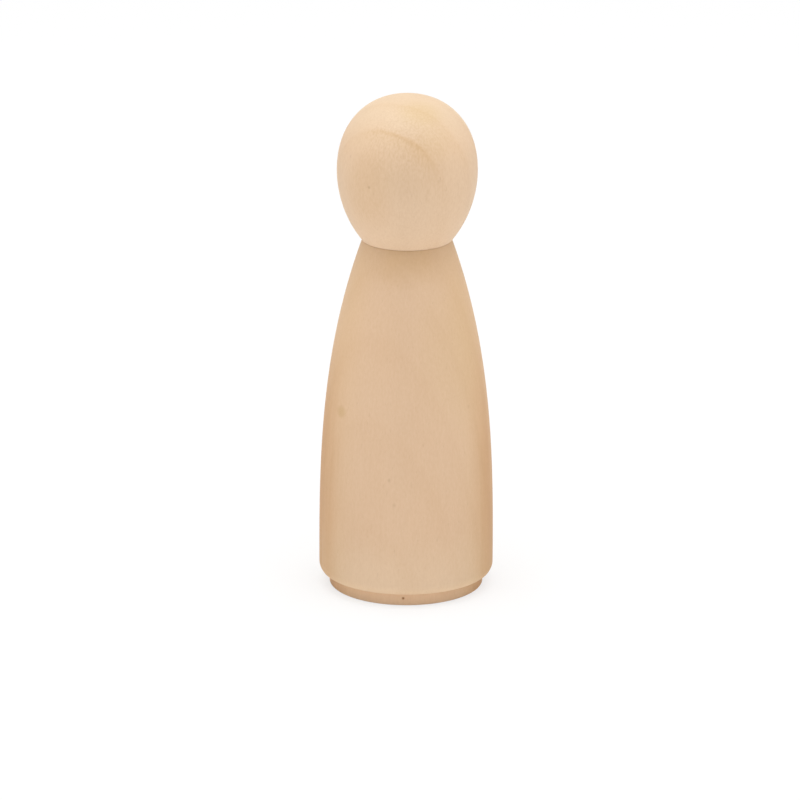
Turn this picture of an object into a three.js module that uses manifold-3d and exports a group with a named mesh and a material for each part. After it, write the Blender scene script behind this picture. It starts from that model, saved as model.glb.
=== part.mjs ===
// Turned wooden peg doll, unpainted: a footed body and an ovoid head, butted at the neck and held by a glued,
// fluted dowel pin. Millimetres, +Z up, the turning axis on Z and the foot standing on z = 0.
import * as THREE from 'three';
import { mergeVertices } from 'three/addons/utils/BufferGeometryUtils.js';
import Module from 'manifold-3d';

const wasm = await Module();
wasm.setup();

// Neck joint, shared by body, head and dowel.
const NECK_HEIGHT = 53.3;
const NECK_DIAMETER = 13.2;
// Sanded rims of the two joint faces, which leave the fine dark crease round the neck.
const NECK_EASE = 0.15;

// Body.
const BODY_DIAMETER = 26;
// Power of the curve from the straight waist to the neck: higher keeps the body full for longer.
const BODY_FULLNESS = 2.78;
const CORNER_RADIUS = 1.8;
const CORNER_SWEEP = THREE.MathUtils.degToRad(43);
const FOOT_HEIGHT = 2.1;
const FOOT_REBATE = 1.05;
const FOOT_EDGE = 0.25;

// Head. Jaw and crown are superellipse quarters that meet at the widest ring.
const HEAD_DIAMETER = 20.7;
const JAW_HEIGHT = 10.35;
const JAW_FULLNESS = 1.87;
const CROWN_HEIGHT = 11.35;
const CROWN_FULLNESS = 2.2;

// Dowel pin and the blind holes that take it, half of its length in each piece.
const DOWEL_DIAMETER = 6;
const DOWEL_LENGTH = 20;
const DOWEL_CHAMFER = 0.6;
const DOWEL_CLEARANCE = 0.1;
const DOWEL_END_GAP = 0.5;
const DRILL_POINT_ANGLE = THREE.MathUtils.degToRad(118);
const FLUTE_COUNT = 10;
const FLUTE_RADIUS = 0.4;
const FLUTE_DEPTH = 0.3;

// Facets.
const TURN_SEGMENTS = 48;
const CORNER_STEPS = 6;
const SIDE_STEPS = 24;
const JAW_STEPS = 11;
const CROWN_STEPS = 15;
const FLUTE_SIDES = 8;

// Derived from the sizes above.
const bodyRadius = BODY_DIAMETER / 2;
const neckRadius = NECK_DIAMETER / 2;
const jointRadius = neckRadius - NECK_EASE;
const headRadius = HEAD_DIAMETER / 2;
const dowelRadius = DOWEL_DIAMETER / 2;
const lipRadius = bodyRadius - CORNER_RADIUS * (1 - Math.cos(CORNER_SWEEP));
const footRadius = lipRadius - FOOT_REBATE;
const cornerTop = FOOT_HEIGHT + CORNER_RADIUS * Math.sin(CORNER_SWEEP);
const headWidest = NECK_HEIGHT + JAW_HEIGHT;
const holeRadius = dowelRadius + DOWEL_CLEARANCE;
const holeDepth = DOWEL_LENGTH / 2 + DOWEL_END_GAP;
const drillPoint = holeRadius / Math.tan(DRILL_POINT_ANGLE / 2);

// The quarter u = 0..1 of a superellipse: full radius at u = 0, nothing at u = 1.
const superellipse = (u, fullness) => Math.pow(Math.max(0, 1 - Math.pow(u, fullness)), 1 / fullness);

// A turned solid about Z from (radius, height) pairs that start and end on the axis.
function turned(profile) {
  const points = profile.map(([radius, height]) => new THREE.Vector2(radius, height));
  const lathe = new THREE.LatheGeometry(points, TURN_SEGMENTS);
  lathe.rotateX(Math.PI / 2);
  return closed(lathe);
}

// Positions only, with shared corners, and without the empty triangles at the poles.
function closed(geometry) {
  geometry.deleteAttribute('normal');
  geometry.deleteAttribute('uv');
  const merged = mergeVertices(geometry, 1e-4);
  const index = Array.from(merged.index.array);
  const kept = [];
  for (let i = 0; i < index.length; i += 3) {
    const [a, b, c] = index.slice(i, i + 3);
    if (a !== b && b !== c && c !== a) {
      kept.push(a, b, c);
    }
  }
  merged.setIndex(kept);
  return merged;
}

function toManifold(geometry) {
  const vertProperties = new Float32Array(geometry.attributes.position.array);
  const triVerts = new Uint32Array(geometry.index.array);
  return new wasm.Manifold(new wasm.Mesh({ numProp: 3, vertProperties, triVerts }));
}

function fromManifold(solid) {
  const mesh = solid.getMesh();
  const geometry = new THREE.BufferGeometry();
  geometry.setAttribute('position', new THREE.BufferAttribute(new Float32Array(mesh.vertProperties), 3));
  geometry.setIndex(Array.from(mesh.triVerts));
  return geometry;
}

function bodyProfile() {
  const profile = [[0, 0], [footRadius - FOOT_EDGE, 0], [footRadius, FOOT_EDGE], [footRadius, FOOT_HEIGHT]];
  for (let i = 0; i < CORNER_STEPS; i += 1) {
    const angle = CORNER_SWEEP * (1 - i / CORNER_STEPS);
    const radius = bodyRadius - CORNER_RADIUS * (1 - Math.cos(angle));
    profile.push([radius, cornerTop - CORNER_RADIUS * Math.sin(angle)]);
  }
  // The side runs for the neck radius at the joint, and the eased rim of the joint face cuts it short.
  const sideHeight = NECK_HEIGHT - cornerTop;
  const sideEnd = 1 - NECK_EASE / sideHeight;
  for (let i = 0; i <= SIDE_STEPS; i += 1) {
    // Steps close up towards the neck, where the side turns fastest.
    const t = sideEnd * Math.sin((i / SIDE_STEPS) * Math.PI / 2);
    const radius = bodyRadius - (bodyRadius - neckRadius) * Math.pow(t, BODY_FULLNESS);
    profile.push([radius, cornerTop + t * sideHeight]);
  }
  profile.push([jointRadius, NECK_HEIGHT]);
  profile.push([holeRadius, NECK_HEIGHT]);
  profile.push([holeRadius, NECK_HEIGHT - holeDepth]);
  profile.push([0, NECK_HEIGHT - holeDepth - drillPoint]);
  return profile;
}

function headProfile() {
  const profile = [[0, NECK_HEIGHT + holeDepth + drillPoint], [holeRadius, NECK_HEIGHT + holeDepth]];
  profile.push([holeRadius, NECK_HEIGHT]);
  profile.push([jointRadius, NECK_HEIGHT]);
  // The jaw is at the neck radius at the joint, so its full quarter would reach below the neck.
  const cut = Math.pow(1 - Math.pow(neckRadius / headRadius, JAW_FULLNESS), 1 / JAW_FULLNESS);
  const reach = JAW_HEIGHT / cut;
  const jawEnd = (JAW_HEIGHT - NECK_EASE) / reach;
  for (let i = 0; i < JAW_STEPS; i += 1) {
    const u = Math.sin(Math.asin(jawEnd) * (1 - i / JAW_STEPS));
    profile.push([headRadius * superellipse(u, JAW_FULLNESS), headWidest - reach * u]);
  }
  for (let i = 0; i < CROWN_STEPS; i += 1) {
    const u = Math.sin((i / CROWN_STEPS) * Math.PI / 2);
    profile.push([headRadius * superellipse(u, CROWN_FULLNESS), headWidest + CROWN_HEIGHT * u]);
  }
  profile.push([0, headWidest + CROWN_HEIGHT]);
  return profile;
}

function dowelSolid() {
  const bottom = NECK_HEIGHT - DOWEL_LENGTH / 2;
  const top = NECK_HEIGHT + DOWEL_LENGTH / 2;
  const pin = turned([
    [0, bottom],
    [dowelRadius - DOWEL_CHAMFER, bottom],
    [dowelRadius, bottom + DOWEL_CHAMFER],
    [dowelRadius, top - DOWEL_CHAMFER],
    [dowelRadius - DOWEL_CHAMFER, top],
    [0, top],
  ]);
  let solid = toManifold(pin);
  for (let i = 0; i < FLUTE_COUNT; i += 1) {
    const angle = (i / FLUTE_COUNT) * 2 * Math.PI;
    const centre = dowelRadius - FLUTE_DEPTH + FLUTE_RADIUS;
    const flute = new THREE.CylinderGeometry(FLUTE_RADIUS, FLUTE_RADIUS, DOWEL_LENGTH * 1.2, FLUTE_SIDES);
    flute.rotateX(Math.PI / 2);
    flute.translate(centre, 0, NECK_HEIGHT);
    flute.rotateZ(angle);
    solid = solid.subtract(toManifold(closed(flute)));
  }
  return fromManifold(solid);
}

const group = new THREE.Group();
group.name = 'wooden_doll';

function addPiece(name, geometry, colour, roughness) {
  const material = new THREE.MeshStandardMaterial({ color: colour, roughness, metalness: 0 });
  const mesh = new THREE.Mesh(geometry, material);
  mesh.name = name;
  group.add(mesh);
}

addPiece('body', turned(bodyProfile()), 0xdcbc9b, 0.62);
addPiece('head', turned(headProfile()), 0xe4c6a3, 0.6);
addPiece('neck_dowel', dowelSolid(), 0xcfa877, 0.7);

export default group;
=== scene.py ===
"""Turned wooden peg doll, bare and sanded: a footed body, an ovoid head and the dowel that joins them."""
import math

import bmesh
import bpy
from mathutils import Matrix, Vector


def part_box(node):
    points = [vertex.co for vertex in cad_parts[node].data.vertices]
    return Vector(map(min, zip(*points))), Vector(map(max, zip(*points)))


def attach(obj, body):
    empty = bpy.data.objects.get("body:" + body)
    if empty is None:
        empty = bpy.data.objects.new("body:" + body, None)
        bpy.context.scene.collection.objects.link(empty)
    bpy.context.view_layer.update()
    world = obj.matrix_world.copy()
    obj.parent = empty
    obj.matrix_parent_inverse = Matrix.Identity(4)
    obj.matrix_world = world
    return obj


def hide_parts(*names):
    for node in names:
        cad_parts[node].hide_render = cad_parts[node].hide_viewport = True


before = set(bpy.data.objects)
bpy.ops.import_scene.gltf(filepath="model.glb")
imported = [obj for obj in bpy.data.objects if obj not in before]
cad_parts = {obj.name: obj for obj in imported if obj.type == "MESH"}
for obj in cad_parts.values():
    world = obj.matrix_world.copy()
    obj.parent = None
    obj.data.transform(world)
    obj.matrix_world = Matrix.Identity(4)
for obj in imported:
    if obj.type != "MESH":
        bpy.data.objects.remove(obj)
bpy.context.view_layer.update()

# Sizes in millimetres. The overall ones come from the solids, the rest repeat the turner's sizes.
MM = 0.001
BODY_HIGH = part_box("body")[1]
HEAD_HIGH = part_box("head")[1]
DOWEL_LOW, DOWEL_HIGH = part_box("neck_dowel")
BODY_RADIUS = BODY_HIGH[0] / MM
NECK_HEIGHT = BODY_HIGH[2] / MM
HEAD_RADIUS = HEAD_HIGH[0] / MM
CROWN_TOP = HEAD_HIGH[2] / MM
DOWEL_RADIUS = DOWEL_HIGH[0] / MM
DOWEL_LENGTH = (DOWEL_HIGH[2] - DOWEL_LOW[2]) / MM

NECK_RADIUS = 6.6
NECK_EASE = 0.15
BODY_FULLNESS = 2.78
CORNER_RADIUS = 1.8
CORNER_SWEEP = 43.0
FOOT_HEIGHT = 2.1
FOOT_REBATE = 1.05
FOOT_EDGE = 0.25
JAW_HEIGHT = 10.35
JAW_FULLNESS = 1.87
CROWN_FULLNESS = 2.2
DOWEL_CLEARANCE = 0.1
DOWEL_END_GAP = 0.5
DRILL_POINT_ANGLE = 118.0

# What sandpaper and the tool's tip leave: the lip's eased edge, the degrees of the corner that it takes, the
# fillet where the foot meets the lip's underside, and the rounding of the two rims at the neck, in degrees.
LIP_EDGE = 0.07
LIP_EDGE_SWEEP = 3.0
FOOT_ROOT_REACH = 0.1
FOOT_ROOT_DROP = 0.12
BODY_RIM = (20, 90)
HEAD_RIM = (-90, -45)

LIP_RADIUS = BODY_RADIUS - CORNER_RADIUS * (1 - math.cos(math.radians(CORNER_SWEEP)))
FOOT_RADIUS = LIP_RADIUS - FOOT_REBATE
CORNER_TOP = FOOT_HEIGHT + CORNER_RADIUS * math.sin(math.radians(CORNER_SWEEP))
HEAD_WIDEST = NECK_HEIGHT + JAW_HEIGHT
HOLE_RADIUS = DOWEL_RADIUS + DOWEL_CLEARANCE
HOLE_DEPTH = DOWEL_LENGTH / 2 + DOWEL_END_GAP
DRILL_POINT = HOLE_RADIUS / math.tan(math.radians(DRILL_POINT_ANGLE / 2))

# The jaw is at the neck radius at the joint, so its full quarter would reach below the neck.
JAW_CUT = (1 - (NECK_RADIUS / HEAD_RADIUS) ** JAW_FULLNESS) ** (1 / JAW_FULLNESS)
JAW_REACH = JAW_HEIGHT / JAW_CUT

# How finely the profile and its turn round the axis are drawn.
TURN_SIDES = 160
EDGE_STEPS = 6
RIM_STEPS = 5
CORNER_STEPS = 12
SIDE_STEPS = 72
JAW_STEPS = 40
CROWN_STEPS = 56
SHARP_ANGLE = 35.0


def arc(centre, radius, start, end, steps):
    """Points on an arc of the profile, by degrees from straight out."""
    angles = [math.radians(start + (end - start) * i / steps) for i in range(steps + 1)]
    return [(centre[0] + radius * math.cos(a), centre[1] + radius * math.sin(a)) for a in angles]


def quarter(u, fullness):
    """A superellipse quarter: 1 at u = 0, nothing at u = 1."""
    return max(0.0, 1 - u ** fullness) ** (1 / fullness)


def body_side(height):
    """Radius of the body between its lower corner and the neck."""
    rise = (height - CORNER_TOP) / (NECK_HEIGHT - CORNER_TOP)
    return BODY_RADIUS - (BODY_RADIUS - NECK_RADIUS) * max(0.0, rise) ** BODY_FULLNESS


def head_side(height):
    """Radius of the head above the neck's eased rim."""
    if height < HEAD_WIDEST:
        return HEAD_RADIUS * quarter((HEAD_WIDEST - height) / JAW_REACH, JAW_FULLNESS)
    return HEAD_RADIUS * quarter((height - HEAD_WIDEST) / (CROWN_TOP - HEAD_WIDEST), CROWN_FULLNESS)


def body_profile():
    """The body from the middle of its underside, up its outside and down into the dowel hole."""
    points = [(0, 0), (FOOT_RADIUS / 2, 0)]
    points += arc((FOOT_RADIUS - FOOT_EDGE, FOOT_EDGE), FOOT_EDGE, -90, 0, EDGE_STEPS)
    points += [(FOOT_RADIUS, FOOT_HEIGHT - FOOT_ROOT_DROP), (FOOT_RADIUS + FOOT_ROOT_REACH, FOOT_HEIGHT)]
    points += [(LIP_RADIUS - LIP_EDGE, FOOT_HEIGHT)]
    points += [(LIP_RADIUS - LIP_EDGE * 0.2, FOOT_HEIGHT + LIP_EDGE * 0.4)]
    corner = (BODY_RADIUS - CORNER_RADIUS, CORNER_TOP)
    points += arc(corner, CORNER_RADIUS, LIP_EDGE_SWEEP - CORNER_SWEEP, 0, CORNER_STEPS)
    rim_height = NECK_HEIGHT - NECK_EASE
    for i in range(1, SIDE_STEPS + 1):
        height = CORNER_TOP + math.sin(i / SIDE_STEPS * math.pi / 2) * (rim_height - CORNER_TOP)
        points.append((body_side(height), height))
    points += arc((body_side(rim_height) - NECK_EASE, rim_height), NECK_EASE, *BODY_RIM, RIM_STEPS)
    points += [(HOLE_RADIUS, NECK_HEIGHT), (HOLE_RADIUS, NECK_HEIGHT - HOLE_DEPTH)]
    points += [(0, NECK_HEIGHT - HOLE_DEPTH - DRILL_POINT)]
    return points


def head_profile():
    """The head from the tip of its dowel hole, out over the joint face and up to the crown."""
    points = [(0, NECK_HEIGHT + HOLE_DEPTH + DRILL_POINT), (HOLE_RADIUS, NECK_HEIGHT + HOLE_DEPTH)]
    points += [(HOLE_RADIUS, NECK_HEIGHT)]
    rim_height = NECK_HEIGHT + NECK_EASE
    points += arc((head_side(rim_height) - NECK_EASE, rim_height), NECK_EASE, *HEAD_RIM, RIM_STEPS)
    jaw_turn = math.asin((JAW_HEIGHT - NECK_EASE) / JAW_REACH)
    for i in range(JAW_STEPS):
        height = HEAD_WIDEST - JAW_REACH * math.sin(jaw_turn * (1 - i / JAW_STEPS))
        points.append((head_side(height), height))
    for i in range(CROWN_STEPS):
        height = HEAD_WIDEST + (CROWN_TOP - HEAD_WIDEST) * math.sin(i / CROWN_STEPS * math.pi / 2)
        points.append((head_side(height), height))
    points.append((0, CROWN_TOP))
    return points


def turned(name, profile):
    """A solid of revolution about Z, smooth except where the profile breaks sharply."""
    bm = bmesh.new()
    turns = [2 * math.pi * i / TURN_SIDES for i in range(TURN_SIDES)]
    rings = []
    for radius, height in profile:
        spots = [(math.cos(a), math.sin(a)) for a in turns] if radius > 0 else [(0, 0)]
        rings.append([bm.verts.new((radius * x * MM, radius * y * MM, height * MM)) for x, y in spots])
    for lower, upper in zip(rings, rings[1:]):
        for i in range(TURN_SIDES):
            j = (i + 1) % TURN_SIDES
            foot = (lower[i % len(lower)], lower[j % len(lower)])
            top = (upper[j % len(upper)], upper[i % len(upper)])
            # A ring on the axis is one point, so its faces are triangles.
            bm.faces.new(list(dict.fromkeys(foot + top)))
    bmesh.ops.recalc_face_normals(bm, faces=bm.faces)
    for face in bm.faces:
        face.smooth = True
    for edge in bm.edges:
        edge.smooth = edge.calc_face_angle(0.0) < math.radians(SHARP_ANGLE)
    mesh = bpy.data.meshes.new(name)
    bm.to_mesh(mesh)
    bm.free()
    piece = bpy.data.objects.new(name, mesh)
    bpy.context.collection.objects.link(piece)
    return piece


class Signal:
    """A value that varies over a surface: a node's socket, with arithmetic that adds Math nodes."""

    def __init__(self, finish, socket):
        self.finish = finish
        self.socket = socket

    def math(self, operation, *values):
        return self.finish.node("ShaderNodeMath", {"operation": operation}, dict(enumerate(values)))

    def __add__(self, other):
        return self.math("ADD", self, other)

    def __radd__(self, other):
        return self.math("ADD", other, self)

    def __sub__(self, other):
        return self.math("SUBTRACT", self, other)

    def __rsub__(self, other):
        return self.math("SUBTRACT", other, self)

    def __mul__(self, other):
        return self.math("MULTIPLY", self, other)

    def __rmul__(self, other):
        return self.math("MULTIPLY", other, self)

    def __truediv__(self, other):
        return self.math("DIVIDE", self, other)

    def fraction(self):
        return self.math("FRACT", self)

    def size(self):
        return self.math("ABSOLUTE", self)

    def wave(self):
        return self.math("SINE", self)

    def most(self, other):
        return self.math("MAXIMUM", self, other)

    def step(self, low, high, start, end):
        """A smooth step from one value to another between two limits."""
        settings = {"interpolation_type": "SMOOTHSTEP", "clamp": True}
        limits = {"Value": self, "From Min": low, "From Max": high, "To Min": start, "To Max": end}
        return self.finish.node("ShaderNodeMapRange", settings, limits)

    def rise(self, low, high):
        """0 below low, 1 above high."""
        return self.step(low, high, 0.0, 1.0)

    def fall(self, low, high):
        """1 below low, 0 above high."""
        return self.step(low, high, 1.0, 0.0)


class Finish:
    """The nodes of one material, or of the world."""

    def __init__(self, tree):
        self.tree = tree
        tree.nodes.clear()

    def node(self, kind, settings=None, sockets=None, output=0):
        """A node of that type: its settings first, then its sockets' values or links, and one output."""
        made = self.tree.nodes.new(kind)
        for name, value in (settings or {}).items():
            setattr(made, name, value)
        for name, value in (sockets or {}).items():
            if isinstance(value, Signal):
                self.tree.links.new(value.socket, made.inputs[name])
            else:
                made.inputs[name].default_value = value
        return Signal(self, made.outputs[output]) if made.outputs else None

    def vector(self, operation, *values, output=0):
        return self.node("ShaderNodeVectorMath", {"operation": operation}, dict(enumerate(values)), output)

    def blend(self, factor, first, second, mode="MIX"):
        settings = {"data_type": "RGBA", "blend_type": mode, "clamp_factor": True}
        return self.node("ShaderNodeMix", settings, {0: factor, 6: first, 7: second}, 2)

    def tone(self, factor, colour, change):
        """The colour multiplied by a change of tone, as far as the factor says."""
        return self.blend(factor, colour, (*change, 1.0), "MULTIPLY")

    def noise(self, place, stretch, detail=2.0, roughness=0.5, output="Fac"):
        """Noise whose features are 1 / stretch millimetres long each way."""
        stretched = self.vector("MULTIPLY", place, stretch)
        sockets = {"Vector": stretched, "Scale": 1.0, "Detail": detail, "Roughness": roughness}
        return self.node("ShaderNodeTexNoise", {"noise_dimensions": "3D"}, sockets, output)

    def millimetres(self):
        """Where a point is on the doll, in millimetres."""
        place = self.node("ShaderNodeTexCoord", {}, {}, "Object")
        return self.vector("MULTIPLY", place, (1 / MM, 1 / MM, 1 / MM))

    def surface(self, shader):
        self.node("ShaderNodeOutputMaterial", {}, {"Surface": shader})


def tint(red, green, blue):
    """A colour by its 0 to 255 screen values, as the shader takes it."""
    def linear(level):
        share = level / 255
        return share / 12.92 if share <= 0.04045 else ((share + 0.055) / 1.055) ** 2.4
    return (linear(red), linear(green), linear(blue), 1.0)


def new_finish(name):
    material = bpy.data.materials.new(name)
    material.use_nodes = True
    return Finish(material.node_tree), material


# The doll's wood: its palest and brownest ground, and the darker colours that lie on it.
PALE_WOOD = tint(231, 201, 171)
BROWN_WOOD = tint(210, 173, 136)
FLECK_BROWN = tint(150, 105, 70)
MARK_BROWN = tint(136, 84, 40)
# Painted shade for the crease of the neck.
CREASE_SHADE_BROWN = tint(112, 76, 50)
END_GRAIN = tint(186, 145, 106)

# Changes of tone that multiply the wood's colour. Those for the head, crown, the body's sides, neck, lip and
# foot are painted light and shade.
HEAD_LIGHT_TONE = (1.06, 1.1, 1.13)
CROWN_SHEEN_TONE = (0.94, 0.98, 1.0)
LATE_TONE = (0.99, 0.975, 0.94)
RING_LINE_TONE = (0.955, 0.92, 0.87)
FLANK_SHADE_TONE = (0.985, 0.965, 0.89)
LOW_FLANK_SHADE_TONE = (0.85, 0.72, 0.58)
NECK_SHADE_TONE = (0.93, 0.89, 0.79)
LIP_LIGHT_TONE = (1.03, 1.08, 1.11)
LIP_EDGE_HIGHLIGHT_TONE = (1.07, 1.09, 1.09)
FOOT_LIGHT_TONE = (1.07, 1.07, 1.06)

# Growth rings lie in nearly flat sheets through head and body: their lean, their spacing and where one
# starts, in millimetres along the lean. A ring darkens slowly to its late wood, this far through it, and ends
# in a fine line.
RING_LEAN = (0.412, 0.877, 0.248)
RING_SPACING = 4.95
RING_START = 1.8
RING_DARKEST = 0.87
RING_WANDER = 1.2
RING_FRAY = 0.4

# The grain's features to the millimetre, round the doll and up it.
FIBRES = (2.4, 2.4, 0.07)
WANDERING = (0.09, 0.09, 0.03)
CLOUDS = (0.12, 0.12, 0.05)
PORES = (4.0, 4.0, 1.5)
FLECKS = (5.0, 5.0, 0.9)
STREAKS = (0.45, 0.45, 0.025)
SANDING = (0.3, 0.3, 8.0)

# Heights between which a change of tone comes or goes, and depths under the neck joint for its painted shade
# (mm).
CROWN_BAND = (68.0, 74.0)
RING_BAND = (63.0, 68.0)
LOW_FLANK_SHADE_BAND = (20.0, 46.0)
LIP_BAND = (FOOT_HEIGHT + 0.8, FOOT_HEIGHT + 11.0)
LIP_EDGE_BAND = (FOOT_HEIGHT + 0.3, FOOT_HEIGHT + 1.5)
NECK_SHADE_DEPTH = (1.2, 6.5)

# Where the rings show best on the head: degrees round from the front, height, width and tallness (mm).
BROW = (-6.0, 70.5, 6.4, 6.0)

# Small marks in the wood: degrees round from the front, height, width, tallness (mm) and strength.
MARKS = (
    (-32.4, 63.5, 0.34, 0.34, 0.28),
    (26.8, 64.6, 0.4, 0.4, 0.09),
    (-56.0, 67.3, 0.36, 0.36, 0.12),
    (-2.0, 1.16, 0.32, 0.32, 1.0),
    (-11.5, 19.9, 0.36, 0.48, 0.18),
    (-8.0, 16.1, 0.45, 0.55, 0.12),
    (50.0, 29.8, 0.4, 0.5, 0.1),
)

# Softer patches: degrees round from the front, height, width, tallness (mm) and their change of tone.
PATCHES = (
    # The first patch is painted shade: a grey band across the front of the head.
    (-3.0, 67.0, 9.5, 7.5, (0.95, 0.94, 0.92)),
    (-36.0, 63.0, 5.5, 9.0, (0.96, 0.93, 0.88)),
    (22.0, 73.7, 4.5, 3.0, (0.96, 0.945, 0.86)),
    (24.0, 69.8, 4.5, 4.0, (0.97, 0.96, 0.92)),
    (-52.8, 28.8, 1.5, 1.3, (0.91, 0.89, 0.8)),
    (42.0, 38.0, 8.5, 15.0, (0.97, 0.97, 0.93)),
)

# Pitch of the tool's rings on the underside, in millimetres.
TOOL_PITCH = 0.55


def from_spot(wood, mm, degrees, height, wide, tall):
    """How far a point is from a spot on the doll's outside, 1 at the spot's edge."""
    if height > NECK_HEIGHT:
        radius = head_side(height)
    elif height > CORNER_TOP:
        radius = body_side(height)
    else:
        radius = FOOT_RADIUS
    turn = math.radians(degrees)
    spot = (radius * math.sin(turn), -radius * math.cos(turn), height)
    away = wood.vector("MULTIPLY", wood.vector("SUBTRACT", mm, spot), (1 / wide, 1 / wide, 1 / tall))
    return wood.vector("LENGTH", away, output="Value")


def turned_wood(name):
    """Pale, close-grained wood, turned and sanded and left bare, its grain running up the doll, with light
    and shade painted into its colour.
    """
    wood, material = new_finish(name)
    mm = wood.millimetres()
    height = wood.node("ShaderNodeSeparateXYZ", {}, {"Vector": mm}, "Z")
    across = wood.node("ShaderNodeSeparateXYZ", {}, {"Vector": mm}, "X")
    from_axis = wood.vector("LENGTH", wood.vector("MULTIPLY", mm, (1.0, 1.0, 0.0)), output="Value")
    sideways = across.size() / from_axis
    on_head = height.rise(NECK_HEIGHT - 0.01, NECK_HEIGHT + 0.01)
    on_body = 1 - on_head
    on_foot = height.fall(FOOT_HEIGHT - 0.1, FOOT_HEIGHT)
    above_foot = height.rise(FOOT_HEIGHT - 0.02, FOOT_HEIGHT + 0.02)
    underside = height.fall(0.02, 0.12)
    near_brow = from_spot(wood, mm, *BROW).fall(0.3, 1.2)

    # Fibres and growth rings, which wander a little.
    fibre = wood.noise(mm, FIBRES, 4.0, 0.6)
    wander = wood.noise(mm, WANDERING, output="Color")
    bent = wood.vector("MULTIPLY_ADD", wander, (RING_WANDER, RING_WANDER, RING_WANDER), mm)
    sheet = wood.vector("DOT_PRODUCT", bent, RING_LEAN, output="Value") - RING_START
    ring = ((sheet + RING_FRAY * (fibre - 0.5)) / RING_SPACING).fraction()
    late = ring.rise(0.45, RING_DARKEST) * ring.fall(RING_DARKEST, 1.0)
    line = ring.rise(0.76, RING_DARKEST) * ring.fall(RING_DARKEST, 0.94)

    # Ground colour, with cloudy changes, fibres, pores and a few brown flecks.
    cloud = wood.noise(mm, CLOUDS)
    pore = wood.noise(mm, PORES)
    fleck = wood.noise(mm, FLECKS).rise(0.66, 0.76)
    shade = 0.45 + 0.3 * (cloud - 0.5) + 0.15 * (fibre - 0.5) + 0.06 * late
    shade = shade + (0.38 + 0.15 * on_head + 0.45 * near_brow) * (pore - 0.5)
    colour = wood.blend(shade, PALE_WOOD, BROWN_WOOD)
    colour = wood.blend(0.11 * fleck, colour, FLECK_BROWN)
    for *spot, strength in MARKS:
        mark = from_spot(wood, mm, *spot).fall(0.0, 1.0)
        colour = wood.blend(strength * mark, colour, MARK_BROWN)

    # Painted light: the whole head is made paler, for the brighter light that falls on it. Its growth rings
    # show, most of all at the brow.
    colour = wood.tone(on_head, colour, HEAD_LIGHT_TONE)
    # Painted highlight: the crown is made less red, for the sheen of the top light on it.
    colour = wood.tone(height.rise(*CROWN_BAND), colour, CROWN_SHEEN_TONE)
    colour = wood.tone(late * height.rise(*RING_BAND) * (0.5 + 0.5 * near_brow), colour, LATE_TONE)
    colour = wood.tone(line * on_head * (0.05 + 0.95 * near_brow), colour, RING_LINE_TONE)
    # The first patch is painted shade on the front of the head; the others are tones of the wood.
    for *spot, change in PATCHES:
        patch = from_spot(wood, mm, *spot).fall(0.2, 1.0)
        colour = wood.tone(patch, colour, change)

    # Painted shade: the body is darker and yellower to its sides, browner low on them in streaks like grain,
    # and darker under the head.
    colour = wood.tone(sideways.rise(0.5, 1.0) * on_body, colour, FLANK_SHADE_TONE)
    streak = wood.noise(mm, STREAKS).rise(-0.1, 0.62)
    low_flank_shade = sideways.rise(0.7, 1.03) * height.fall(*LOW_FLANK_SHADE_BAND) * streak
    colour = wood.tone(low_flank_shade, colour, LOW_FLANK_SHADE_TONE)
    # Painted shade under the head, on the body's front and back.
    neck_shade = (NECK_HEIGHT - height).fall(*NECK_SHADE_DEPTH) * on_body * sideways.fall(0.3, 0.95)
    colour = wood.tone(neck_shade, colour, NECK_SHADE_TONE)

    # Painted light: the lip is paler, as if lit from the table below, most of all at its lower edge, and the
    # foot is painted paler too.
    lip = above_foot * height.fall(*LIP_BAND)
    colour = wood.tone(lip, colour, LIP_LIGHT_TONE)
    lip_edge_highlight = above_foot * height.fall(*LIP_EDGE_BAND)
    colour = wood.tone(lip_edge_highlight, colour, LIP_EDGE_HIGHLIGHT_TONE)
    # Painted light lifting the foot out of its shade at the table.
    colour = wood.tone(on_foot, colour, FOOT_LIGHT_TONE)

    # Painted shade in the crease of the neck, and the browner, ringed end grain underneath.
    crease = (height - NECK_HEIGHT).size().fall(0.05, 0.2)
    colour = wood.blend(0.08 * crease, colour, CREASE_SHADE_BROWN)
    colour = wood.blend(0.25 * underside, colour, END_GRAIN)
    tool_rings = (from_axis * (2 * math.pi / TOOL_PITCH)).wave() * underside

    sanding = wood.noise(mm, SANDING)
    relief = 0.5 * fibre - 0.5 * fleck + 0.15 * sanding + 0.3 * tool_rings
    bump = wood.node("ShaderNodeBump", {}, {"Strength": 0.35, "Distance": 0.06 * MM, "Height": relief})
    rough = 0.52 + 0.12 * (fibre - 0.5) + 0.06 * fleck
    wood.surface(wood.node("ShaderNodeBsdfPrincipled", {}, {
        "Base Color": colour, "Roughness": rough, "Normal": bump, "Specular IOR Level": 0.15}))
    return material


def dowel_wood(name):
    """Straight, plain rod stock, a shade browner than the doll."""
    rod, material = new_finish(name)
    mm = rod.millimetres()
    fibre = rod.noise(mm, (3.5, 3.5, 0.1), 4.0, 0.6)
    fleck = rod.noise(mm, (6.0, 6.0, 0.8)).rise(0.62, 0.74)
    colour = rod.blend(fibre, tint(218, 178, 130), tint(190, 145, 98))
    colour = rod.blend(0.4 * fleck, colour, tint(132, 88, 54))
    bump = rod.node("ShaderNodeBump", {}, {"Strength": 0.4, "Distance": 0.08 * MM, "Height": fibre - fleck})
    rough = 0.6 + 0.15 * (fibre - 0.5)
    rod.surface(rod.node("ShaderNodeBsdfPrincipled", {}, {
        "Base Color": colour, "Roughness": rough, "Normal": bump, "Specular IOR Level": 0.35}))
    return material


# The pieces.
doll_finish = turned_wood("bare_turned_wood")

body = turned("turned_body", body_profile())
body.data.materials.append(doll_finish)
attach(body, "root")
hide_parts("body")

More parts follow.
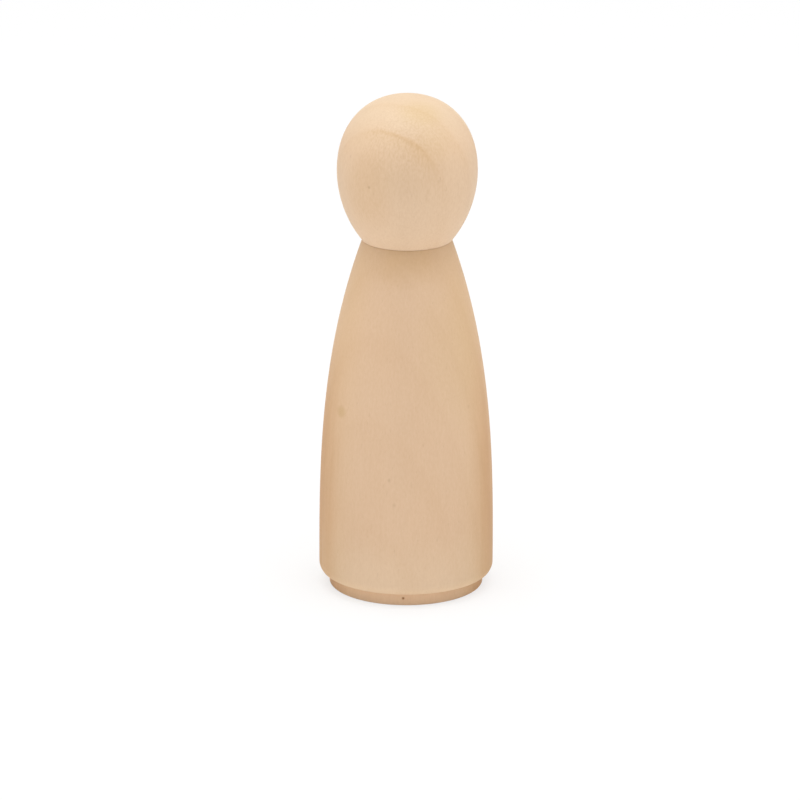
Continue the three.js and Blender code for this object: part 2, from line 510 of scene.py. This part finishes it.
head = turned("turned_head", head_profile())
head.data.materials.append(doll_finish)
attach(head, "root")
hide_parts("head")

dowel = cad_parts["neck_dowel"]
dowel.data.materials.clear()
dowel.data.materials.append(dowel_wood("fluted_dowel_wood"))

# The table and the room, in metres. The table lies a hair under the foot, so that the two don't flicker.
TABLE_REACH = 3.0
TABLE_HEIGHT = -0.05 * MM
WHITE = (1.0, 1.0, 1.0, 1.0)
PAPER_WHITE = (0.95, 0.95, 0.95, 1.0)
SHADOW_SHARE = (0.25, 0.25, 0.25, 1.0)
PAPER_GLOW = 0.735
ROOM_LIGHT = 0.45


def white_seen(finish):
    """1 for what the camera, a gloss or a clear piece sees directly."""
    seen = [finish.node("ShaderNodeLightPath", {}, {}, name)
            for name in ("Is Camera Ray", "Is Glossy Ray", "Is Transmission Ray")]
    return seen[0].most(seen[1]).most(seen[2])


def white_table():
    """A sheet of white paper that is lit as paper, and seen as white with the doll's shadow on it."""
    mesh = bpy.data.meshes.new("white_table")
    corners = [(-TABLE_REACH, -TABLE_REACH, TABLE_HEIGHT), (TABLE_REACH, -TABLE_REACH, TABLE_HEIGHT),
               (TABLE_REACH, TABLE_REACH, TABLE_HEIGHT), (-TABLE_REACH, TABLE_REACH, TABLE_HEIGHT)]
    mesh.from_pydata(corners, [], [(0, 1, 2, 3)])
    table = bpy.data.objects.new("white_table", mesh)
    bpy.context.collection.objects.link(table)
    paper, material = new_finish("white_paper")
    plain = paper.node("ShaderNodeBsdfDiffuse", {}, {"Color": PAPER_WHITE})
    shaded = paper.node("ShaderNodeBsdfDiffuse", {}, {"Color": SHADOW_SHARE})
    glow = paper.node("ShaderNodeEmission", {}, {"Color": WHITE, "Strength": PAPER_GLOW})
    seen = paper.node("ShaderNodeAddShader", {}, {0: shaded, 1: glow})
    sheet = paper.node("ShaderNodeMixShader", {}, {0: white_seen(paper), 1: plain, 2: seen})
    # From below the sheet is clear, so that the foot's underside shows.
    below = paper.node("ShaderNodeNewGeometry", {}, {}, "Backfacing")
    clear = paper.node("ShaderNodeBsdfTransparent", {}, {})
    paper.surface(paper.node("ShaderNodeMixShader", {}, {0: below, 1: sheet, 2: clear}))
    mesh.materials.append(material)


def white_world():
    """A room that lights the doll at a plain level and is seen as white."""
    world = bpy.data.worlds.new("white_room")
    world.use_nodes = True
    room = Finish(world.node_tree)
    strength = ROOM_LIGHT + (1 - ROOM_LIGHT) * white_seen(room)
    back = room.node("ShaderNodeBackground", {}, {"Color": WHITE, "Strength": strength})
    room.node("ShaderNodeOutputWorld", {}, {"Surface": back})
    bpy.context.scene.world = world


def hang(name, lamp, place, aim):
    """A lamp at a place, turned to what it aims at."""
    hung = bpy.data.objects.new(name, lamp)
    hung.location = place
    hung.rotation_euler = (Vector(aim) - Vector(place)).to_track_quat("-Z", "Y").to_euler()
    bpy.context.collection.objects.link(hung)
    return hung


def soft_box(name, place, aim, size, power):
    lamp = bpy.data.lights.new(name, "AREA")
    lamp.shape = "SQUARE"
    lamp.size = size
    lamp.energy = power
    hang(name, lamp, place, aim)


def side_lamp(name, place, aim, cone, power):
    """A snooted lamp whose soft cone, in degrees, reaches the head and shoulders only and leaves no glint."""
    lamp = bpy.data.lights.new(name, "SPOT")
    lamp.spot_size = math.radians(cone)
    lamp.spot_blend = 1.0
    lamp.shadow_soft_size = 0.05
    lamp.energy = power
    hang(name, lamp, place, aim).visible_glossy = False


white_table()
white_world()
soft_box("top_box", place=(0.0, -0.05, 1.1), aim=(0.0, 0.0, 0.0), size=1.1, power=11.2)
soft_box("front_box", place=(0.0, -1.4, 0.25), aim=(0.0, 0.0, 0.04), size=1.0, power=2.6)
for name, side in (("left_lamp", -1.0), ("right_lamp", 1.0)):
    side_lamp(name, place=(side, 0.05, 0.2), aim=(0.0, 0.0, 0.064), cone=3.4, power=24.0)

# The camera: its distance from the doll's middle in metres, its tilt and roll in degrees, its focal length,
# and how far the doll's middle is right of and above the picture's centre, in pixels of a picture 800 wide.
CAMERA_DISTANCE = 0.8
CAMERA_TILT = 17.07
CAMERA_ROLL = 0.19
FOCAL = 5399.5
OFF_RIGHT = 6.54
OFF_UP = 58.9
PICTURE = 800.0
SENSOR = 36.0


def place_camera():
    tilt = math.radians(CAMERA_TILT)
    roll = math.radians(CAMERA_ROLL)
    middle = Vector((0.0, 0.0, CROWN_TOP * MM / 2))
    spot = middle + CAMERA_DISTANCE * Vector((0.0, -math.cos(tilt), math.sin(tilt)))
    ahead = (middle - spot).normalized()
    right = Vector((1.0, 0.0, 0.0))
    up = right.cross(ahead)
    ahead = (ahead - right * (OFF_RIGHT / FOCAL) - up * (OFF_UP / FOCAL)).normalized()
    up = (up - ahead * up.dot(ahead)).normalized()
    right = ahead.cross(up)
    right, up = right * math.cos(roll) + up * math.sin(roll), up * math.cos(roll) - right * math.sin(roll)
    lens = bpy.data.cameras.new("photo_camera")
    lens.sensor_fit = "HORIZONTAL"
    lens.sensor_width = SENSOR
    lens.lens = FOCAL / PICTURE * SENSOR
    lens.clip_start = 0.01
    lens.clip_end = 20.0
    camera = bpy.data.objects.new("photo_camera", lens)
    turn = Matrix((right, up, -ahead)).transposed().to_4x4()
    camera.matrix_world = Matrix.Translation(spot) @ turn
    bpy.context.collection.objects.link(camera)
    bpy.context.scene.camera = camera


place_camera()
bpy.context.scene.view_settings.view_transform = "Standard"
